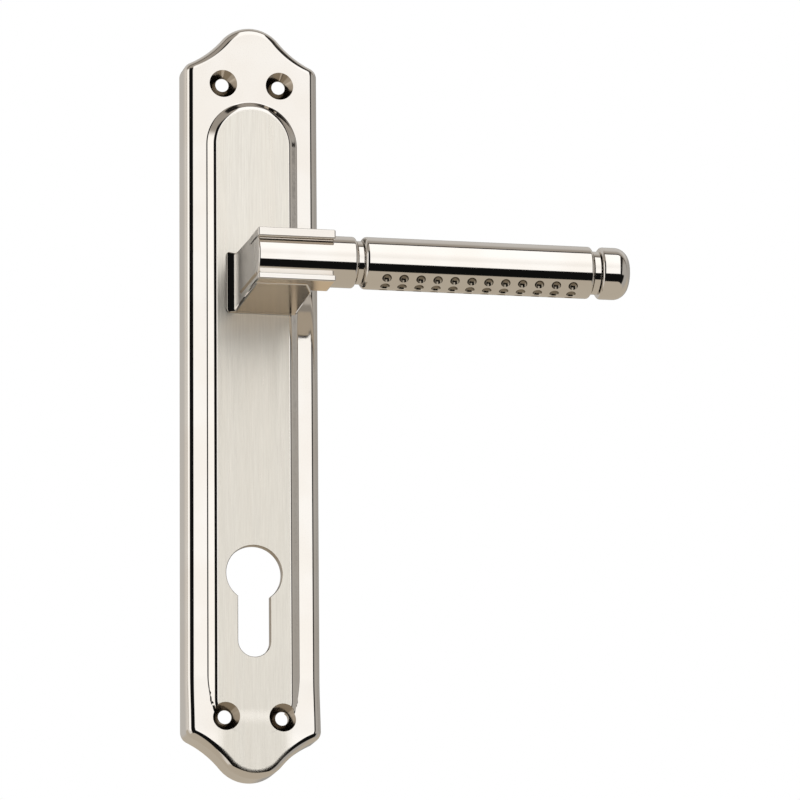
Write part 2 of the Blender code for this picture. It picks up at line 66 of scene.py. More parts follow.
# ================================================================ node helpers
class Graph:
    """Short names for building shader nodes."""

    def __init__(self, tree):
        self.tree = tree
        self.made = 0

    def node(self, kind, **settings):
        n = self.tree.nodes.new(kind)
        for key, value in settings.items():
            setattr(n, key, value)
        n.location = (-1800 + 190 * (self.made % 10), 700 - 240 * (self.made // 10))
        self.made += 1
        return n

    def feed(self, socket, value):
        if hasattr(value, "is_output") or isinstance(value, bpy.types.NodeSocket):
            self.tree.links.new(value, socket)
        elif isinstance(value, (tuple, list)) and len(value) == 3 and socket.type == "RGBA":
            socket.default_value = (*value, 1.0)
        else:
            socket.default_value = value

    def math(self, operation, *values, clamp=False):
        n = self.node("ShaderNodeMath", operation=operation, use_clamp=clamp)
        for socket, value in zip(n.inputs, values):
            self.feed(socket, value)
        return n.outputs[0]

    def smooth(self, value, low, high, to_low=0.0, to_high=1.0):
        """0 below low, 1 above high, smooth between. low and high can be sockets."""
        n = self.node("ShaderNodeMapRange", interpolation_type="SMOOTHSTEP")
        for key, v in zip(("Value", "From Min", "From Max", "To Min", "To Max"), (value, low, high, to_low, to_high)):
            self.feed(n.inputs[key], v)
        return n.outputs[0]

    def ramp(self, value, low, high, to_low=0.0, to_high=1.0):
        n = self.node("ShaderNodeMapRange", interpolation_type="LINEAR")
        for key, v in zip(("Value", "From Min", "From Max", "To Min", "To Max"), (value, low, high, to_low, to_high)):
            self.feed(n.inputs[key], v)
        return n.outputs[0]

    def mix(self, share, a, b):
        n = self.node("ShaderNodeMix", data_type="RGBA")
        self.feed(n.inputs[0], share)
        self.feed(n.inputs[6], a)
        self.feed(n.inputs[7], b)
        return n.outputs[2]

    def parts(self, vector):
        n = self.node("ShaderNodeSeparateXYZ")
        self.feed(n.inputs[0], vector)
        return n.outputs

    def scaled(self, vector, scale, rotation=(0.0, 0.0, 0.0)):
        n = self.node("ShaderNodeMapping")
        self.feed(n.inputs["Vector"], vector)
        n.inputs["Scale"].default_value = scale
        n.inputs["Rotation"].default_value = rotation
        return n.outputs[0]

    def noise(self, vector, scale, detail=2.0, roughness=0.5):
        n = self.node("ShaderNodeTexNoise")
        self.feed(n.inputs["Vector"], vector)
        n.inputs["Scale"].default_value = scale
        n.inputs["Detail"].default_value = detail
        n.inputs["Roughness"].default_value = roughness
        return n.outputs[0]

    def bump(self, height, distance, strength=1.0, normal=None):
        n = self.node("ShaderNodeBump")
        self.feed(n.inputs["Height"], height)
        n.inputs["Distance"].default_value = distance
        n.inputs["Strength"].default_value = strength
        if normal is not None:
            self.feed(n.inputs["Normal"], normal)
        return n.outputs[0]


def new_material(name, viewport):
    made = bpy.data.materials.new(name)
    made.use_nodes = True
    made.node_tree.nodes.clear()
    g = Graph(made.node_tree)
    shader = g.node("ShaderNodeBsdfPrincipled")
    out = g.node("ShaderNodeOutputMaterial")
    made.node_tree.links.new(shader.outputs[0], out.inputs[0])
    made.diffuse_color = (*viewport, 1.0)
    place = g.node("ShaderNodeTexCoord").outputs["Object"]
    return made, g, shader, place


# ================================================================ materials
NICKEL_A, NICKEL_B = (0.835, 0.808, 0.775), (0.81, 0.772, 0.728)


def polished(name, ripple=1.0, colour_a=NICKEL_A, colour_b=NICKEL_B, rough=0.055):
    """Polished nickel plate: a near mirror with faint polishing haze and a slow waviness."""
    made, g, shader, place = new_material(name, NICKEL_A)
    tint = g.noise(place, 55.0, 2.0)
    haze = g.noise(place, 900.0, 3.0)
    wave = g.noise(place, 130.0, 1.0)
    fine = g.noise(g.scaled(place, (1.0, 1.0, 0.25)), 2600.0, 2.0)
    g.feed(shader.inputs["Base Color"], g.mix(g.smooth(tint, 0.35, 0.65), colour_a, colour_b))
    shader.inputs["Metallic"].default_value = 1.0
    g.feed(shader.inputs["Roughness"], g.ramp(haze, 0.3, 0.7, rough - 0.02, rough + 0.02))
    slow = g.bump(wave, 0.00002 * ripple, 0.5)
    g.feed(shader.inputs["Normal"], g.bump(fine, 0.0000012, 0.5, slow))
    return made


def brushed_end(name):
    """The head's end face, left satin by a fine belt."""
    made, g, shader, place = new_material(name, NICKEL_A)
    tint = g.noise(place, 90.0, 2.0)
    lines = g.noise(g.scaled(place, (400.0, 120.0, 3800.0)), 1.0, 3.0, 0.6)
    # Painted light: the end face's nickel is lighter than the rest of the head; the belt lines and roughness are its
    # own.
    g.feed(shader.inputs["Base Color"], g.mix(g.smooth(tint, 0.3, 0.7), (0.94, 0.92, 0.885), (0.90, 0.875, 0.835)))
    shader.inputs["Metallic"].default_value = 1.0
    g.feed(shader.inputs["Roughness"], g.ramp(lines, 0.3, 0.7, 0.30, 0.36))
    g.feed(shader.inputs["Normal"], g.bump(lines, 0.000002, 0.3))
    return made


def plate_nickel(name):
    """The plate's face: polished all over, but satin with upright brushing on the raised
    panel and down the middle of the bottom lobe."""
    made, g, shader, place = new_material(name, NICKEL_A)
    x, y, z = g.parts(place)
    # distance from the panel's outline, in metres
    level = g.math("MINIMUM", g.math("MAXIMUM", z, -0.160), 0.001 * PANEL_TOP)
    away = g.math("SUBTRACT", z, level)
    radius = g.math("SQRT", g.math("ADD", g.math("MULTIPLY", x, x), g.math("MULTIPLY", away, away)))
    flat = 0.001 * (PANEL_HALF - BORDER)
    panel = g.smooth(radius, flat - 0.00005, flat + 0.00025, 1.0, 0.0)
    side = g.math("ABSOLUTE", x)
    lobe = g.math("MULTIPLY", g.smooth(side, 0.0085, 0.0135, 1.0, 0.0), g.smooth(z, -0.140, -0.133, 1.0, 0.0))
    upper = g.smooth(z, -0.138, -0.134)
    front = g.smooth(y, -0.0110, -0.0114)
    satin = g.math("ADD", g.math("MULTIPLY", panel, upper), g.math("MULTIPLY", lobe, g.math("SUBTRACT", 1.0, upper)))
    satin = g.math("MULTIPLY", satin, front, clamp=True)

    long_streak = g.noise(g.scaled(place, (900.0, 40.0, 22.0)), 1.0, 3.0, 0.6)
    fine_streak = g.noise(g.scaled(place, (5200.0, 200.0, 95.0)), 1.0, 3.0, 0.65)
    broad = g.noise(g.scaled(place, (260.0, 20.0, 9.0)), 1.0, 2.0)
    tint = g.noise(place, 55.0, 2.0)
    haze = g.noise(place, 900.0, 3.0)
    wave = g.noise(place, 120.0, 1.0)

    clear = g.mix(g.smooth(tint, 0.35, 0.65), NICKEL_A, NICKEL_B)
    grain = g.math("ADD", g.math("MULTIPLY", long_streak, 0.5), g.math("MULTIPLY", fine_streak, 0.5))
    brushed = g.mix(g.smooth(grain, 0.36, 0.64), (0.72, 0.69, 0.635), (0.86, 0.83, 0.765))
    brushed = g.mix(g.smooth(broad, 0.35, 0.7, 0.0, 0.35), brushed, (0.80, 0.755, 0.68))
    # Painted shade: the brushed satin darkens from 30 mm above the spindle axis to 10 mm below it, and stays darker
    # down to the bottom.
    brushed = g.mix(g.smooth(z, 0.030, -0.010, 0.0, 0.22), brushed, (0.58, 0.545, 0.475))
    g.feed(shader.inputs["Base Color"], g.mix(satin, clear, brushed))
    shader.inputs["Metallic"].default_value = 1.0
    rough_clear = g.ramp(haze, 0.3, 0.7, 0.035, 0.075)
    rough_satin = g.ramp(long_streak, 0.3, 0.7, 0.27, 0.36)
    rough = g.math(
        "ADD",
        g.math("MULTIPLY", rough_satin, satin),
        g.math("MULTIPLY", rough_clear, g.math("SUBTRACT", 1.0, satin)),
    )
    g.feed(shader.inputs["Roughness"], rough)
    g.feed(shader.inputs["Anisotropic"], g.math("MULTIPLY", satin, 0.6))
    upright = g.node("ShaderNodeCombineXYZ")
    upright.inputs[2].default_value = 1.0
    g.feed(shader.inputs["Tangent"], upright.outputs[0])
    slow = g.bump(wave, 0.00002, 0.5)
    lines = g.bump(g.math("MULTIPLY", fine_streak, satin), 0.000012, 0.6, slow)
    g.feed(shader.inputs["Normal"], lines)
    return made


def cast_metal(name):
    """The unpolished inside of the casting: plated, pitted and dull."""
    made, g, shader, place = new_material(name, (0.60, 0.58, 0.55))
    pits = g.noise(place, 1500.0, 4.0, 0.6)
    flow = g.noise(g.scaled(place, (1.0, 1.0, 0.35)), 160.0, 3.0)
    g.feed(shader.inputs["Base Color"], g.mix(g.smooth(flow, 0.3, 0.7), (0.52, 0.50, 0.47), (0.66, 0.63, 0.585)))
    shader.inputs["Metallic"].default_value = 1.0
    g.feed(shader.inputs["Roughness"], g.ramp(pits, 0.3, 0.7, 0.34, 0.5))
    g.feed(shader.inputs["Normal"], g.bump(pits, 0.00006, 0.6, g.bump(flow, 0.0001, 0.3)))
    return made


def zinc_steel(name, grain=(1.0, 1.0, 0.08)):
    """Zinc-plated steel: satin, with rolling lines and faint straw and blue bloom."""
    made, g, shader, place = new_material(name, (0.62, 0.63, 0.65))
    bloom = g.noise(place, 140.0, 2.0)
    lines = g.noise(g.scaled(place, grain), 3200.0, 3.0, 0.6)
    spangle = g.noise(place, 700.0, 2.0)
    colour = g.mix(g.smooth(bloom, 0.35, 0.65), (0.60, 0.62, 0.66), (0.68, 0.66, 0.60))
    g.feed(shader.inputs["Base Color"], g.mix(g.smooth(spangle, 0.4, 0.75, 0.0, 0.35), colour, (0.76, 0.77, 0.78)))
    shader.inputs["Metallic"].default_value = 1.0
    g.feed(shader.inputs["Roughness"], g.ramp(lines, 0.3, 0.7, 0.24, 0.38))
    g.feed(shader.inputs["Normal"], g.bump(lines, 0.00001, 0.5))
    return made


def spring_steel(name):
    """Oil-blackened spring steel."""
    made, g, shader, place = new_material(name, (0.16, 0.16, 0.17))
    drawn = g.noise(place, 1800.0, 3.0)
    oil = g.noise(place, 300.0, 2.0)
    g.feed(shader.inputs["Base Color"], g.mix(g.smooth(oil, 0.35, 0.65), (0.13, 0.13, 0.14), (0.25, 0.235, 0.215)))
    shader.inputs["Metallic"].default_value = 1.0
    g.feed(shader.inputs["Roughness"], g.ramp(drawn, 0.3, 0.7, 0.25, 0.42))
    g.feed(shader.inputs["Normal"], g.bump(drawn, 0.00001, 0.5))
    return made


def nylon(name):
    """Natural moulded nylon."""
    made, g, shader, place = new_material(name, (0.86, 0.85, 0.80))
    cloud = g.noise(place, 260.0, 3.0)
    skin = g.noise(place, 2400.0, 2.0)
    g.feed(shader.inputs["Base Color"], g.mix(g.smooth(cloud, 0.3, 0.7), (0.80, 0.785, 0.73), (0.88, 0.87, 0.825)))
    shader.inputs["Subsurface Weight"].default_value = 0.25
    shader.inputs["Subsurface Radius"].default_value = (0.001, 0.0009, 0.0007)
    shader.inputs["Subsurface Scale"].default_value = 1.0
    g.feed(shader.inputs["Roughness"], g.ramp(skin, 0.3, 0.7, 0.42, 0.55))
    g.feed(shader.inputs["Normal"], g.bump(skin, 0.00002, 0.5))
    return made


MIRROR = polished("nickel_polished")
# Painted shade: a darker, browner nickel for the countersinks and the keyhole's edge and wall.
RECESS_PAINTED_SHADE = polished("nickel_recess_painted_shade", 1.0, (0.44, 0.385, 0.32), (0.36, 0.305, 0.24), 0.10)
# Painted reflection: a warm orange nickel for the neck's underside, standing in for warm light from below.
UNDERSIDE_PAINTED_REFLECTION = polished("nickel_underside_painted_reflection", 1.0, (1.0, 0.80, 0.56), (0.96, 0.76, 0.52), 0.20)
# Painted shade: a darker brown nickel in the groove across the head's end face.
GROOVE_PAINTED_SHADE = polished("nickel_groove_painted_shade", 1.0, (0.66, 0.57, 0.47), (0.58, 0.49, 0.40), 0.46)
# Painted shade: a dark brown nickel inside the grip's dimples.
DIMPLE = polished("nickel_dimple_painted_shade", 1.0, (0.34, 0.30, 0.245), (0.27, 0.235, 0.19), 0.16)
PLATE = plate_nickel("nickel_plate_face")
END_FACE = brushed_end("nickel_satin_end_painted_light")
CAST = cast_metal("nickel_cast_inside")
STEEL = zinc_steel("zinc_plated_steel")
STEEL_BAR = zinc_steel("zinc_plated_bar", (1.0, 0.08, 1.0))
SPRING = spring_steel("spring_steel_black")
NYLON = nylon("nylon_natural")


# ================================================================ mesh helpers
def to_object(name, bm):
    bmesh.ops.remove_doubles(bm, verts=bm.verts, dist=1e-8)
    bmesh.ops.recalc_face_normals(bm, faces=bm.faces)
    mesh = bpy.data.meshes.new(name)
    bm.to_mesh(mesh)
    bm.free()
    made = bpy.data.objects.new(name, mesh)
    bpy.context.scene.collection.objects.link(made)
    return made


def loft(name, rings, strips=False):
    bm = bmesh.new()
    made = [[bm.verts.new(Vector(p) * MM) for p in ring] for ring in rings]
    for low, high in zip(made, made[1:]):
        for i in range(len(low)):
            j = (i + 1) % len(low)
            bm.faces.new((low[i], low[j], high[j], high[i]))
    bm.faces.new(list(reversed(made[0])))
    if strips:
        last = made[-1]
        for i in range(len(last) // 2):
            corners = [last[i], last[i + 1], last[-i - 1], last[-i]]
            bm.faces.new(list(dict.fromkeys(corners)))
    else:
        bm.faces.new(made[-1])
    return to_object(name, bm)


def prism(name, outline, y0, y1):
    return loft(name, [[(x, y0, z) for x, z in outline], [(x, y1, z) for x, z in outline]])


ALONG = {
    "+Y": Matrix.Rotation(-pi / 2, 4, "X"),
    "+X": Matrix.Rotation(pi / 2, 4, "Y"),
    "+Z": Matrix.Identity(4),
}


def turned(name, profile, axis, at=(0, 0, 0), steps=96):
    """A solid of (radius, distance) points turned round an axis. It is closed at its ends, or
    into a ring where the profile doesn't start and end on the axis."""
    bm = bmesh.new()
    ring = profile[0][0] > 0 or profile[-1][0] > 0
    rows = []
    for r, h in profile:
        if r == 0:
            rows.append([bm.verts.new((0, 0, h * MM))])
        else:
            rows.append(
                [
                    bm.verts.new((r * MM * cos(2 * pi * i / steps), r * MM * sin(2 * pi * i / steps), h * MM))
                    for i in range(steps)
                ]
            )
    pairs = list(zip(rows, rows[1:])) + ([(rows[-1], rows[0])] if ring else [])
    for low, high in pairs:
        for i in range(steps):
            j = (i + 1) % steps
            a = [low[0]] if len(low) == 1 else [low[i], low[j]]
            b = [high[0]] if len(high) == 1 else [high[j], high[i]]
            if len(a) + len(b) > 2:
                bm.faces.new(a + b)
    bm.transform(Matrix.Translation(Vector(at) * MM) @ ALONG[axis])
    return to_object(name, bm)


def bar(name, profile, steps=96):
    return turned(name, profile, "+X", (0, -AXIS, 0), steps)


def block(name, low, high, bevel=0.0, segments=4):
    bm = bmesh.new()
    bmesh.ops.create_cube(bm, size=1.0)
    low, high = Vector(low) * MM, Vector(high) * MM
    for v in bm.verts:
        v.co = Vector((a if c < 0 else b) for c, a, b in zip(v.co, low, high))
    if bevel:
        bmesh.ops.bevel(
            bm, geom=list(bm.edges), offset=bevel * MM, segments=segments, profile=0.5, affect="EDGES"
        )
    return to_object(name, bm)


def joined(target, steps):
    """Applies a list of ("DIFFERENCE" or "UNION", cutter) to the target, and removes the cutters."""
    for operation, other in steps:
        modifier = target.modifiers.new(other.name, "BOOLEAN")
        modifier.operation = operation
        modifier.solver = "EXACT"
        modifier.object = other
    bpy.context.view_layer.update()
    graph = bpy.context.evaluated_depsgraph_get()
    mesh = bpy.data.meshes.new_from_object(target.evaluated_get(graph))
    target.modifiers.clear()
    old = target.data
    target.data = mesh
    mesh.name = target.name
    bpy.data.meshes.remove(old)
    for _, other in steps:
        bpy.data.objects.remove(other, do_unlink=True)
    return target


def arc(cx, cz, r, start, end, count):
    return [
        (
            cx + r * cos(radians(start + (end - start) * i / count)),
            cz + r * sin(radians(start + (end - start) * i / count)),
        )
        for i in range(count + 1)
    ]


def round_corner(centre, r, start, end, count):
    """Points of a fillet in a turned piece's profile, as (radius, distance)."""
    return arc(centre[0], centre[1], r, start, end, count)


def finish_shading(obj, sharp=28.0, exact=None):
    """Smooth shading with sharp creases and face-weighted normals. exact(centre, normal, point)
    gives the true normal of a point on a curved surface, or None."""
    mesh = obj.data
    mesh.shade_smooth()
    mesh.set_sharp_from_angle(angle=radians(sharp))
    weighted = obj.modifiers.new("Weighted", "WEIGHTED_NORMAL")
    weighted.mode = "FACE_AREA_WITH_ANGLE"
    weighted.keep_sharp = True
    bpy.context.view_layer.update()
    graph = bpy.context.evaluated_depsgraph_get()
    result = bpy.data.meshes.new_from_object(obj.evaluated_get(graph))
    obj.modifiers.clear()
    result.name = obj.name
    obj.data = result
    bpy.data.meshes.remove(mesh)
    if exact:
        normals = [Vector(n.vector) for n in result.corner_normals]
        for face in result.polygons:
            centre, facing = face.center / MM, face.normal
            for corner in face.loop_indices:
                point = result.vertices[result.loops[corner].vertex_index].co / MM
                true = exact(centre, facing, point)
                if true is not None:
                    normals[corner] = true
        result.normals_split_custom_set(normals)
    return obj


def dress(obj, body, slot, *materials):
    for m in materials:
        obj.data.materials.append(m)
    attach(obj, body)
    return obj


# ================================================================ backplate
def plate_outline(inset, crown_n=22, hollow_n=18, corner_n=8):
    """The ogee-ended outline, this far inside the plate's outer edge, each point on its own normal."""
    keep = EDGE_R + 0.5 - inset
    base = EDGE_R + 0.5
    crown, hollow, half = LOBE_R - base, SWEEP_R + base, PLATE_W / 2 - base
    top = PLATE_H / 2 - base
    quarter = []
    for i in range(crown_n + 1):
        a = radians(LOBE_TURN * i / crown_n)
        quarter.append((crown * sin(a) + keep * sin(a), top - crown * (1 - cos(a)) + keep * cos(a)))
    s0 = sin(radians(LOBE_TURN))
    x0, z0 = crown * s0, top - crown * (1 - cos(radians(LOBE_TURN)))
    s1 = s0 - (half - x0) / hollow
    first, last = radians(LOBE_TURN), atan(s1 / sqrt(1 - s1 * s1))
    for i in range(1, hollow_n + 1):
        a = first + (last - first) * i / hollow_n
        quarter.append(
            (x0 + hollow * (s0 - sin(a)) + keep * sin(a), z0 - hollow * (cos(a) - cos(first)) + keep * cos(a))
        )
    corner = (half, z0 - hollow * (cos(last) - cos(first)))
    for i in range(1, corner_n + 1):
        a = last + (pi / 2 - last) * i / corner_n
        quarter.append((corner[0] + keep * sin(a), corner[1] + keep * cos(a)))
    levels = [PANEL_TOP + 18.3 * tan(radians(a)) for a in range(48, -1, -4)]
    levels += [30.0, 0.0, -30.0, -60.0, -90.0, -115.0, -120.0, -123.0]
    levels += [RAMP[0] - 0.75 * i for i in range(21)]
    side = [(PLATE_W / 2 - inset, z - PLATE_CZ) for z in levels]
    right = quarter + side + [(x, -z) for x, z in reversed(quarter)]
    left = [(-x, z) for x, z in reversed(right)][1:-1]
    return [(x, z + PLATE_CZ) for x, z in right + left]


def face_level(z):
    t = min(1.0, max(0.0, (RAMP[0] - z) / (RAMP[0] - RAMP[1])))
    return RIM + (PANEL - RIM) * t * t * (3 - 2 * t)


CHAMFER, ROLL = radians(38.0), 2.1
FLAT = PANEL_HALF - BORDER


def front_level(x, z):
    """Height of the plate's front above the door: rim, border and panel, with a small hollow at
    the border's foot, which the bottom lobe swallows."""
    t = min(1.0, max(0.0, (RAMP[0] - z) / (RAMP[0] - RAMP[1])))
    rim = face_level(z)
    s = sqrt(x * x + (z - min(PANEL_TOP, max(PANEL_END, z))) ** 2) - FLAT
    if s <= 0:
        border = PANEL
    elif s < ROLL * sin(CHAMFER):
        border = PANEL - (ROLL - sqrt(ROLL * ROLL - s * s))
    else:
        border = PANEL - ROLL * (1 - cos(CHAMFER)) - (s - ROLL * sin(CHAMFER)) * sin(CHAMFER) / cos(CHAMFER)
    soft = 0.24 * (1 - t)
    level = max(rim, border)
    if soft > 1e-4:
        level += max(soft - abs(rim - border), 0.0) ** 2 / (4 * soft)
    return level


def panel_outline(half, count=48):
    return arc(0, PANEL_TOP, half, 180, 0, count) + arc(0, PANEL_END, half, 0, -180, count)


def key_outline(grow=0.0):
    r, w = KEY_R + grow, KEY_SLOT + grow
    low = KEY_Z + KEY_R - KEY_TALL + KEY_SLOT
    meet = degrees(atan(w / sqrt(r * r - w * w)))
    return arc(0, KEY_Z, r, 270 + meet, 630 - meet, 80) + arc(0, low, w, 180, 360, 36)


rings = [[(x, 0.0, z) for x, z in plate_outline(0.0)]]
ROUND = 16
for k in range(ROUND + 1):
    a = radians(90.0 - 90.0 * k / ROUND)
    rings.append(
        [
            (x, EDGE_R * (1 - cos(a)) - face_level(z), z)
            for x, z in plate_outline(EDGE_R * (1 - sin(a)))
        ]
    )
border_top = FLAT + ROLL * sin(CHAMFER)
radii = [PANEL_HALF + d for d in (0.6, 0.4, 0.28, 0.2, 0.13, 0.06, 0.0, -0.06, -0.13, -0.2, -0.28, -0.5, -1.0)]
radii += [FLAT + ROLL * sin(CHAMFER * (1 - k / 12)) for k in range(13)] + [FLAT - 0.3]
around = []
for x, z in plate_outline(EDGE_R):
    centre = min(PANEL_TOP, max(PANEL_END, z))
    reach = sqrt(x * x + (z - centre) ** 2)
    around.append((centre, reach, x / reach, (z - centre) / reach))
for step in range(1, 11):
    ring = []
    for centre, reach, ux, uz in around:
        r = reach + (radii[0] - reach) * step / 10
        ring.append((ux * r, centre + uz * r))
    rings.append([(x, -front_level(x, z), z) for x, z in ring])
for r in radii[1:]:
    ring = [(ux * r, centre + uz * r) for centre, reach, ux, uz in around]
    rings.append([(x, -front_level(x, z), z) for x, z in ring])
plate = loft("plate_casting", rings, strips=True)

tools = []
tools.append(("DIFFERENCE", prism("back_cavity", plate_outline(2.5), 1.0, -(RIM - SKIN))))
tools.append(
    ("DIFFERENCE", prism("panel_cavity", panel_outline(PANEL_HALF - BORDER - 0.6), -1.0, -(PANEL - SKIN)))
)
for n, (x, z) in enumerate(BOSSES):
    tools.append(
        (
            "UNION",
            turned(f"boss_{n}", [(0, -2.1), (2.4, -2.1), (2.6, -2.3), (2.6, 1.0 - RIM), (0, 1.0 - RIM)], "+Y", (x, 0, z), 40),
        )
    )
    tools.append(
        ("DIFFERENCE", turned(f"boss_hole_{n}", [(0, 1.0), (0.95, 1.0), (0.95, -6.4), (0, -6.4)], "+Y", (x, 0, z), 24))
    )
for n, (x, z, face) in enumerate(
    [(-SCREW_X, SCREW_TOP, RIM), (SCREW_X, SCREW_TOP, RIM), (-SCREW_X, SCREW_LOW, PANEL), (SCREW_X, SCREW_LOW, PANEL)]
):
    deep = SINK_R - SCREW_R
    tools.append(
        (
            "DIFFERENCE",
            turned(
                f"screw_hole_{n}",
                [(0, 1.0), (SCREW_R, 1.0), (SCREW_R, -face + deep), (SINK_R + 1.0, -face - 1.0), (0, -face - 1.0)],
                "+Y",
                (x, 0, z),
                96,
            ),
        )
    )
tools.append(("DIFFERENCE", prism("key_cutter", key_outline(), 1.0, -20.0)))
tools.append(
    (
        "DIFFERENCE",
        loft(
            "key_edge",
            [
                [(x, -PANEL + 0.22, z) for x, z in key_outline(-0.05)],
                [(x, -PANEL + 0.17, z) for x, z in key_outline(0.0)],
                [(x, -PANEL - 0.2, z) for x, z in key_outline(0.37)],
            ],
        ),
    )
)
tools.append(
    ("DIFFERENCE", turned("bush_seat", [(0, 1), (BUSH_R + 0.12, 1), (BUSH_R + 0.12, -20), (0, -20)], "+Y", (0, 0, 0), 96))
)
joined(plate, tools)


def inside_casting(face):
    """Whether a face is in the hollow behind the plate."""
    c, n = face.center / MM, face.normal
    if c.y > -0.01:
        return False
    if n.y > 0.6:
        return True
    if abs(n.y) > 0.5 or c.y < -(RIM - SKIN) - 2.05:
        return False
    return n.x * c.x / 20.0 + n.z * (c.z - PLATE_CZ) / 110.0 < 0 and abs(c.x) < 19.6 or False


def slope_normal(x, z):
    d = 0.004
    return Vector(
        (
            -(front_level(x + d, z) - front_level(x - d, z)) / (2 * d),
            -1.0,
            -(front_level(x, z + d) - front_level(x, z - d)) / (2 * d),
        )
    ).normalized()


def plate_normal(centre, facing, point):
    """True normals on the rim, the border and the panel."""
    if facing.y > -0.5 or abs(centre.y + front_level(centre.x, centre.z)) > 0.02:
        return None
    true = slope_normal(centre.x, centre.z)
    return slope_normal(point.x, point.z) if facing.dot(true) > 0.97 else None


def in_recess(face):
    """Whether a face is in a countersink, or in the keyhole's edge or wall."""
    c = face.center / MM
    if c.y > -(RIM - SKIN) - 0.05:
        return False
    for x, z in ((-SCREW_X, SCREW_TOP), (SCREW_X, SCREW_TOP), (-SCREW_X, SCREW_LOW), (SCREW_X, SCREW_LOW)):
        if sqrt((c.x - x) ** 2 + (c.z - z) ** 2) < SINK_R + 0.05 and abs(face.normal.y) < 0.9:
            return True
    return abs(c.x) < 9.3 and -119.0 < c.z < -82.0 and abs(face.normal.y) < 0.9


finish_shading(plate, 24.0, plate_normal)
dress(plate, "plate", "polished_nickel", PLATE, CAST, RECESS_PAINTED_SHADE)
# the countersinks and the keyhole's edge and wall take the darker nickel, which is painted shade
for face in plate.data.polygons:
    face.material_index = 1 if inside_casting(face) else 2 if in_recess(face) else 0
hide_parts("backplate")


# ================================================================ neck
def rounded_box(x0, x1, z0, z1, r, y, count=8):
    ring = []
    for cx, cz, a, b in (
        (x1 - r, z1 - r, 90, 0),
        (x1 - r, z0 + r, 0, -90),
        (x0 + r, z0 + r, -90, -180),
        (x0 + r, z1 - r, 180, 90),
    ):
        ring += [(x, y, z) for x, z in arc(cx, cz, r, a, b, count)]
    return ring


def foot_ring(x0, x1, z0, z1, r, y):
    return rounded_box(x0, x1, z0, z1, r, y, 8)


base = -(PANEL + 0.3)
edge = 0.35
neck_rings = [
    foot_ring(HEAD_LEFT + 0.45, 9.2, -7.3, 7.3, 0.8, -48.15),
    foot_ring(HEAD_LEFT + 0.12, 9.9, -8.1, 8.1, 0.8, -47.5),
    foot_ring(HEAD_LEFT, 10.3, -8.45, 8.45, 0.8, -47.0),
    foot_ring(HEAD_LEFT, 13.3, -8.6, 8.6, 0.8, -38.0),
    foot_ring(HEAD_LEFT, 13.6, -9.3, 9.3, 0.8, base - 1.75),
]
for a in (22.5, 45.0, 67.5, 90.0):  # hollow between the neck and its foot
    t = 0.35 * (1 - cos(radians(a)))
    neck_rings.append(foot_ring(HEAD_LEFT - t, 13.6 + 0.3 * t, -9.3 - 0.2 * t, 9.3 + 0.3 * t, 0.8, base - 1.75 + 0.35 * sin(radians(a))))
neck_rings.append(foot_ring(HEAD_LEFT - FOOT + edge, 13.9, -9.45, 9.85, 1.0, base - 0.78))
for a in (30.0, 60.0, 90.0):
    t = edge * (1 - sin(radians(a)))
    neck_rings.append(foot_ring(HEAD_LEFT - FOOT + t, 13.9, -9.5, 9.9, 1.0, base - 0.78 + edge * (1 - cos(radians(a)))))
neck_rings.append(foot_ring(HEAD_LEFT - FOOT, 13.9, -9.5, 9.9, 1.0, base))
neck = loft("neck_casting", neck_rings)
barrel_profile = (
    [(0, HEAD_LEFT + 0.06)]
    + round_corner((HEAD_R - 0.6, HEAD_LEFT + 0.66), 0.6, -90, 0, 8)
    + round_corner((HEAD_R - 1.0, COLLAR_END - 1.0), 1.0, 0, 90, 10)
    + [(5.0, COLLAR_END), (5.0, GRIP[0] + 3.6), (4.6, GRIP[0] + 4.0), (0, GRIP[0] + 4.0)]
)
half = SPINDLE / 2 + 0.1
CLIP_Y = (-2.8, -2.2)
section = [(3.0, -4.8)] + [(8.5 - 2.7 * cos(radians(a)), -6.42 + 2.7 * sin(radians(a))) for a in range(37, -1, -3)] + [(3.0, -6.42)]
groove_fill = loft(
    "groove_fill", [[(x, -AXIS - f, z) for f, z in section] for x in (HEAD_LEFT + 0.8, FIN_RIGHT - 0.6)]
)
end_groove = block("end_groove", (-0.4, -48.4, -0.4), (0.4, -24.0, 0.4))
end_groove.data.transform(Matrix.Translation(Vector((HEAD_LEFT, 0, -5.7)) * MM) @ Matrix.Rotation(pi / 4, 4, "Y"))
